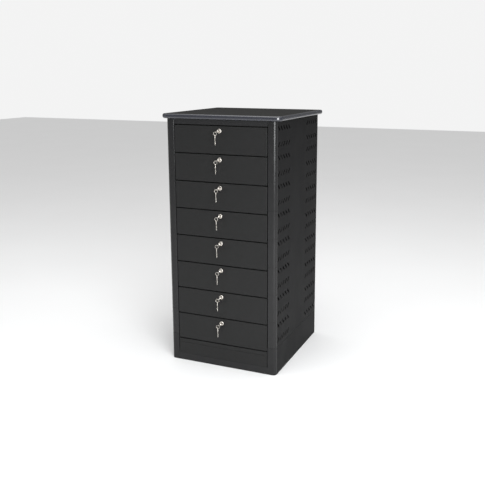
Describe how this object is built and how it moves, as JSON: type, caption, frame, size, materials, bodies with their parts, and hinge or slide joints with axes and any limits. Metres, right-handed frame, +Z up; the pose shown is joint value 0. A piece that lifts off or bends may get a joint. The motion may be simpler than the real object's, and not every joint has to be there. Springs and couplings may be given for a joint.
{
  "type": "locking drawer chest",
  "caption": "Tall black steel chest with locking drawers, slotted sides and a rounded laminate worktop; each drawer has its own key and a spare on a ring.",
  "frame": {"origin": "centre of the whole object's footprint, on the floor", "axes": "+Z up; the drawer fronts face -Y; +X is to the right seen from the front"},
  "size_m": [0.526, 0.5452, 1.0559],
  "materials": {
    "worktop_laminate": "satin black laminate with a glossy rounded edge",
    "cabinet_coat": "fine-texture black powder coat",
    "drawer_coat": "satin black powder coat",
    "zinc_plate": "dull black zinc-plated steel",
    "nickel_plate": "polished nickel plate"
  },
  "bodies": {
    "cabinet": {"worktop": "worktop_laminate", "top_panel": "cabinet_coat", "left_side_panel": "cabinet_coat", "right_side_panel": "cabinet_coat", "back_panel": "cabinet_coat", "left_corner_post": "cabinet_coat", "right_corner_post": "cabinet_coat", "base_frame": "cabinet_coat", "kick_panel": "drawer_coat", "left_runner_rack": "zinc_plate", "right_runner_rack": "zinc_plate", "cam_frame": "zinc_plate"},
    "drawer_1": {"drawer_1_tray": "drawer_coat", "drawer_1_front": "drawer_coat", "drawer_1_lock_barrel": "nickel_plate"},
    "lock_1": {"drawer_1_lock_plug": "nickel_plate", "drawer_1_key": "nickel_plate"},
    "spare_key_1": {"drawer_1_spare_key": "nickel_plate"},
    "drawer_2": {"drawer_2_tray": "drawer_coat", "drawer_2_front": "drawer_coat", "drawer_2_lock_barrel": "nickel_plate"},
    "lock_2": {"drawer_2_lock_plug": "nickel_plate", "drawer_2_key": "nickel_plate"},
    "spare_key_2": {"drawer_2_spare_key": "nickel_plate"},
    "drawer_3": {"drawer_3_tray": "drawer_coat", "drawer_3_front": "drawer_coat", "drawer_3_lock_barrel": "nickel_plate"},
    "lock_3": {"drawer_3_lock_plug": "nickel_plate", "drawer_3_key": "nickel_plate"},
    "spare_key_3": {"drawer_3_spare_key": "nickel_plate"},
    "drawer_4": {"drawer_4_tray": "drawer_coat", "drawer_4_front": "drawer_coat", "drawer_4_lock_barrel": "nickel_plate"},
    "lock_4": {"drawer_4_lock_plug": "nickel_plate", "drawer_4_key": "nickel_plate"},
    "spare_key_4": {"drawer_4_spare_key": "nickel_plate"},
    "drawer_5": {"drawer_5_tray": "drawer_coat", "drawer_5_front": "drawer_coat", "drawer_5_lock_barrel": "nickel_plate"},
    "lock_5": {"drawer_5_lock_plug": "nickel_plate", "drawer_5_key": "nickel_plate"},
    "spare_key_5": {"drawer_5_spare_key": "nickel_plate"},
    "drawer_6": {"drawer_6_tray": "drawer_coat", "drawer_6_front": "drawer_coat", "drawer_6_lock_barrel": "nickel_plate"},
    "lock_6": {"drawer_6_lock_plug": "nickel_plate", "drawer_6_key": "nickel_plate"},
    "spare_key_6": {"drawer_6_spare_key": "nickel_plate"},
    "drawer_7": {"drawer_7_tray": "drawer_coat", "drawer_7_front": "drawer_coat", "drawer_7_lock_barrel": "nickel_plate"},
    "lock_7": {"drawer_7_lock_plug": "nickel_plate", "drawer_7_key": "nickel_plate"},
    "spare_key_7": {"drawer_7_spare_key": "nickel_plate"},
    "drawer_8": {"drawer_8_tray": "drawer_coat", "drawer_8_front": "drawer_coat", "drawer_8_lock_barrel": "nickel_plate"},
    "lock_8": {"drawer_8_lock_plug": "nickel_plate", "drawer_8_key": "nickel_plate"},
    "spare_key_8": {"drawer_8_spare_key": "nickel_plate"}
  },
  "joints": [
    {"name": "drawer_1_slide", "type": "slide", "parent": "cabinet", "child": "drawer_1", "axis": [0, -1, 0], "range_m": [0, 0.38]},
    {"name": "lock_1_turn", "type": "hinge", "parent": "drawer_1", "child": "lock_1", "pos_m": [0, -0.23737, 0.9927], "axis": [0, -1, 0], "range_deg": [0, 90]},
    {"name": "spare_key_1_swing", "type": "hinge", "parent": "lock_1", "child": "spare_key_1", "pos_m": [-0.00717, -0.26117, 0.98805], "axis": [0, 1, 0], "range_deg": [-15, 90]},
    {"name": "drawer_2_slide", "type": "slide", "parent": "cabinet", "child": "drawer_2", "axis": [0, -1, 0], "range_m": [0, 0.38]},
    {"name": "lock_2_turn", "type": "hinge", "parent": "drawer_2", "child": "lock_2", "pos_m": [0, -0.23737, 0.8784], "axis": [0, -1, 0], "range_deg": [0, 90]},
    {"name": "spare_key_2_swing", "type": "hinge", "parent": "lock_2", "child": "spare_key_2", "pos_m": [-0.00717, -0.26117, 0.87375], "axis": [0, 1, 0], "range_deg": [-15, 90]},
    {"name": "drawer_3_slide", "type": "slide", "parent": "cabinet", "child": "drawer_3", "axis": [0, -1, 0], "range_m": [0, 0.38]},
    {"name": "lock_3_turn", "type": "hinge", "parent": "drawer_3", "child": "lock_3", "pos_m": [0, -0.23737, 0.7641], "axis": [0, -1, 0], "range_deg": [0, 90]},
    {"name": "spare_key_3_swing", "type": "hinge", "parent": "lock_3", "child": "spare_key_3", "pos_m": [-0.00717, -0.26117, 0.75945], "axis": [0, 1, 0], "range_deg": [-15, 90]},
    {"name": "drawer_4_slide", "type": "slide", "parent": "cabinet", "child": "drawer_4", "axis": [0, -1, 0], "range_m": [0, 0.38]},
    {"name": "lock_4_turn", "type": "hinge", "parent": "drawer_4", "child": "lock_4", "pos_m": [0, -0.23737, 0.6498], "axis": [0, -1, 0], "range_deg": [0, 90]},
    {"name": "spare_key_4_swing", "type": "hinge", "parent": "lock_4", "child": "spare_key_4", "pos_m": [-0.00717, -0.26117, 0.64515], "axis": [0, 1, 0], "range_deg": [-15, 90]},
    {"name": "drawer_5_slide", "type": "slide", "parent": "cabinet", "child": "drawer_5", "axis": [0, -1, 0], "range_m": [0, 0.38]},
    {"name": "lock_5_turn", "type": "hinge", "parent": "drawer_5", "child": "lock_5", "pos_m": [0, -0.23737, 0.5355], "axis": [0, -1, 0], "range_deg": [0, 90]},
    {"name": "spare_key_5_swing", "type": "hinge", "parent": "lock_5", "child": "spare_key_5", "pos_m": [-0.00717, -0.26117, 0.53085], "axis": [0, 1, 0], "range_deg": [-15, 90]},
    {"name": "drawer_6_slide", "type": "slide", "parent": "cabinet", "child": "drawer_6", "axis": [0, -1, 0], "range_m": [0, 0.38]},
    {"name": "lock_6_turn", "type": "hinge", "parent": "drawer_6", "child": "lock_6", "pos_m": [0, -0.23737, 0.4212], "axis": [0, -1, 0], "range_deg": [0, 90]},
    {"name": "spare_key_6_swing", "type": "hinge", "parent": "lock_6", "child": "spare_key_6", "pos_m": [-0.00717, -0.26117, 0.41655], "axis": [0, 1, 0], "range_deg": [-15, 90]},
    {"name": "drawer_7_slide", "type": "slide", "parent": "cabinet", "child": "drawer_7", "axis": [0, -1, 0], "range_m": [0, 0.38]},
    {"name": "lock_7_turn", "type": "hinge", "parent": "drawer_7", "child": "lock_7", "pos_m": [0, -0.23737, 0.3069], "axis": [0, -1, 0], "range_deg": [0, 90]},
    {"name": "spare_key_7_swing", "type": "hinge", "parent": "lock_7", "child": "spare_key_7", "pos_m": [-0.00717, -0.26117, 0.30225], "axis": [0, 1, 0], "range_deg": [-15, 90]},
    {"name": "drawer_8_slide", "type": "slide", "parent": "cabinet", "child": "drawer_8", "axis": [0, -1, 0], "range_m": [0, 0.38]},
    {"name": "lock_8_turn", "type": "hinge", "parent": "drawer_8", "child": "lock_8", "pos_m": [0, -0.23737, 0.1926], "axis": [0, -1, 0], "range_deg": [0, 90]},
    {"name": "spare_key_8_swing", "type": "hinge", "parent": "lock_8", "child": "spare_key_8", "pos_m": [-0.00717, -0.26117, 0.18795], "axis": [0, 1, 0], "range_deg": [-15, 90]}
  ]
}
